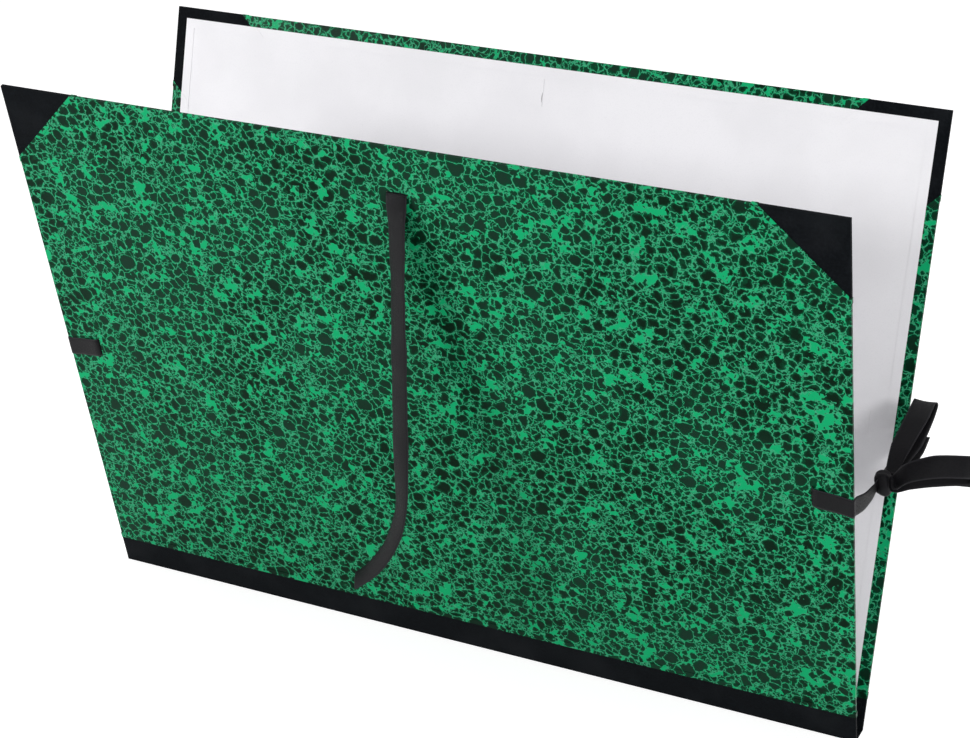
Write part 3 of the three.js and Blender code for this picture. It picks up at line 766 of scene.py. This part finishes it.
def make_ribbons():
    for name, facing in (("front", 1), ("back", -1)):
        body = f"{name}_cover"
        length = HANG_LENGTH if facing > 0 else BACK_HANG_LENGTH
        hanging, run = ribbon(f"{name}_hanging_ribbon", on_cover(facing, hanging_ribbon(length, -1)),
                              cup=0.9 * MM, ripple=0.5 * MM)
        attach(hanging, body)
        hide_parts(f"{name}_top_ribbon")
        at_slit = placed(facing, 0, OUTSIDE, SLIT_Z)
        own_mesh(hanging)

        loose, run = ribbon(f"{name}_loose_side_ribbon",
                            on_cover(facing, loose_side_ribbon(-facing)), ripple=0.15 * MM)
        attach(loose, body)
        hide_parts(f"{name}_left_ribbon")

        tied, run = ribbon(f"{name}_tied_ribbon", tied_ribbon(facing), ripple=0.2 * MM)
        leave = placed(facing, EDGE * facing, BOARD_BACK + SKIN, SIDE_SLIT_HEIGHT)
        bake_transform(tied)
        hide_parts(f"{name}_right_ribbon")

    parts = (
        ("right_loop", right_loop(), "bow_right_loop", 0.8 * MM),
        ("upper_loop", upper_loop(), "bow_upper_loop", 0.8 * MM),
        ("right_tail", right_tail(), "bow_right_tail", 0.5 * MM),
        ("upper_tail", upper_tail(), "bow_upper_tail", 0.5 * MM),
    )
    for name, stations, node, cup in parts:
        made, run = ribbon(name, stations, step=1.2 * MM, cup=cup, ripple=0.25 * MM)
        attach(made, "spine")
        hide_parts(node)
    wrap = knot_wrap()
    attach(wrap, "spine")
    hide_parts("bow_knot")


# Covers

def make_covers():
    for name in ("front", "back"):
        finishes = {
            "board": GREY_BOARD,
            "marbled_paper": MARBLED,
            "lining": LINING_PAPER,
            "corner_left": BOOK_CLOTH,
            "corner_right": BOOK_CLOTH,
        }
        for part, material in finishes.items():
            node = NODES[f"{name}_{part}"]
            node.data.materials.clear()
            node.data.materials.append(material)


def half_of(node, facing):
    """The half of a sheet across the spine that lies on one cover's side."""
    made = NODES[node].copy()
    made.data = NODES[node].data.copy()
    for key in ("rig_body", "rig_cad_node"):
        if key in made:
            del made[key]
    made.parent = None
    # The first half hides the node that it replaces, and the copy for the second takes that over.
    made.hide_render = False
    made.hide_viewport = False
    made.name = f"{node}_{'front' if facing > 0 else 'back'}_half"
    bpy.context.scene.collection.objects.link(made)
    mesh = bmesh.new()
    mesh.from_mesh(made.data)
    bmesh.ops.remove_doubles(mesh, verts=mesh.verts, dist=1e-6)
    everything = mesh.verts[:] + mesh.edges[:] + mesh.faces[:]
    cut = bmesh.ops.bisect_plane(mesh, geom=everything, plane_co=(0, 0, 0),
                                 plane_no=(0, facing, 0), clear_outer=True)
    edges = [item for item in cut["geom_cut"] if isinstance(item, bmesh.types.BMEdge)]
    bmesh.ops.holes_fill(mesh, edges=edges)
    mesh.to_mesh(made.data)
    mesh.free()
    made.data.materials.clear()
    made.data.materials.append(BOOK_CLOTH)
    return made


BEND_START = 0.3 * MM
BEND_OUT = 0.6 * MM
BEND_UP = 0.8 * MM


def make_spine():
    """The sheets across the spine, each in two halves."""
    for node in ("spine_cloth", "inner_hinge_cloth"):
        for facing, cover in ((1, "front_cover"), (-1, "back_cover")):
            half = half_of(node, facing)
            inner = Vector((0, -facing * (SPINE_WIDTH / 2 - BEND_START), 0))
            outer = inner + Vector((0, -facing * BEND_OUT, BEND_UP))
            if node == "inner_hinge_cloth":
                shift = Vector((0, facing * (BOARD_BACK + GLUE) * math.cos(LEAN), CLOTH))
                inner += shift
                outer += shift
            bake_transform(half)
            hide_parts(node)


# Studio

def aimed(at, target):
    direction = Vector(target) - Vector(at)
    turn = direction.to_track_quat("-Z", "Y").to_matrix().to_4x4()
    return Matrix.Translation(Vector(at)) @ turn


def area_light(name, at, target, power, size, in_gloss=True):
    data = bpy.data.lights.new(name, "AREA")
    data.energy = power
    data.shape = "DISK"
    data.size = size
    light = bpy.data.objects.new(name, data)
    bpy.context.scene.collection.objects.link(light)
    light.matrix_world = aimed(at, target)
    light.visible_glossy = in_gloss


def make_studio():
    reach = 12.0
    corners = [(-reach, -reach, 0), (reach, -reach, 0), (reach, reach, 0), (-reach, reach, 0)]
    floor = new_object("floor", corners, [(0, 1, 2, 3)], floor_white())
    world = bpy.data.worlds.new("studio")
    bpy.context.scene.world = world
    world.use_nodes = True
    tree = world.node_tree
    background = tree.nodes["Background"]
    background.inputs["Color"].default_value = (1.0, 1.0, 1.0, 1.0)
    strength = tree.nodes.new("ShaderNodeMapRange")
    strength.inputs["To Min"].default_value = 0.5
    strength.inputs["To Max"].default_value = 1.0
    tree.links.new(seen_directly(tree), strength.inputs["Value"])
    tree.links.new(strength.outputs[0], background.inputs["Strength"])
    middle = (0, 0, 0.26)
    area_light("key", (-1.55, -1.75, 1.1), middle, 28, 0.5)
    area_light("right_fill", (1.9, -1.3, 1.3), middle, 20, 0.5, in_gloss=False)
    area_light("top_fill", (0.2, 0.6, 2.6), middle, 14, 1.4, in_gloss=False)
    bpy.context.scene.view_settings.view_transform = "Standard"


make_camera()
make_covers()
make_spine()
make_ribbons()
make_studio()
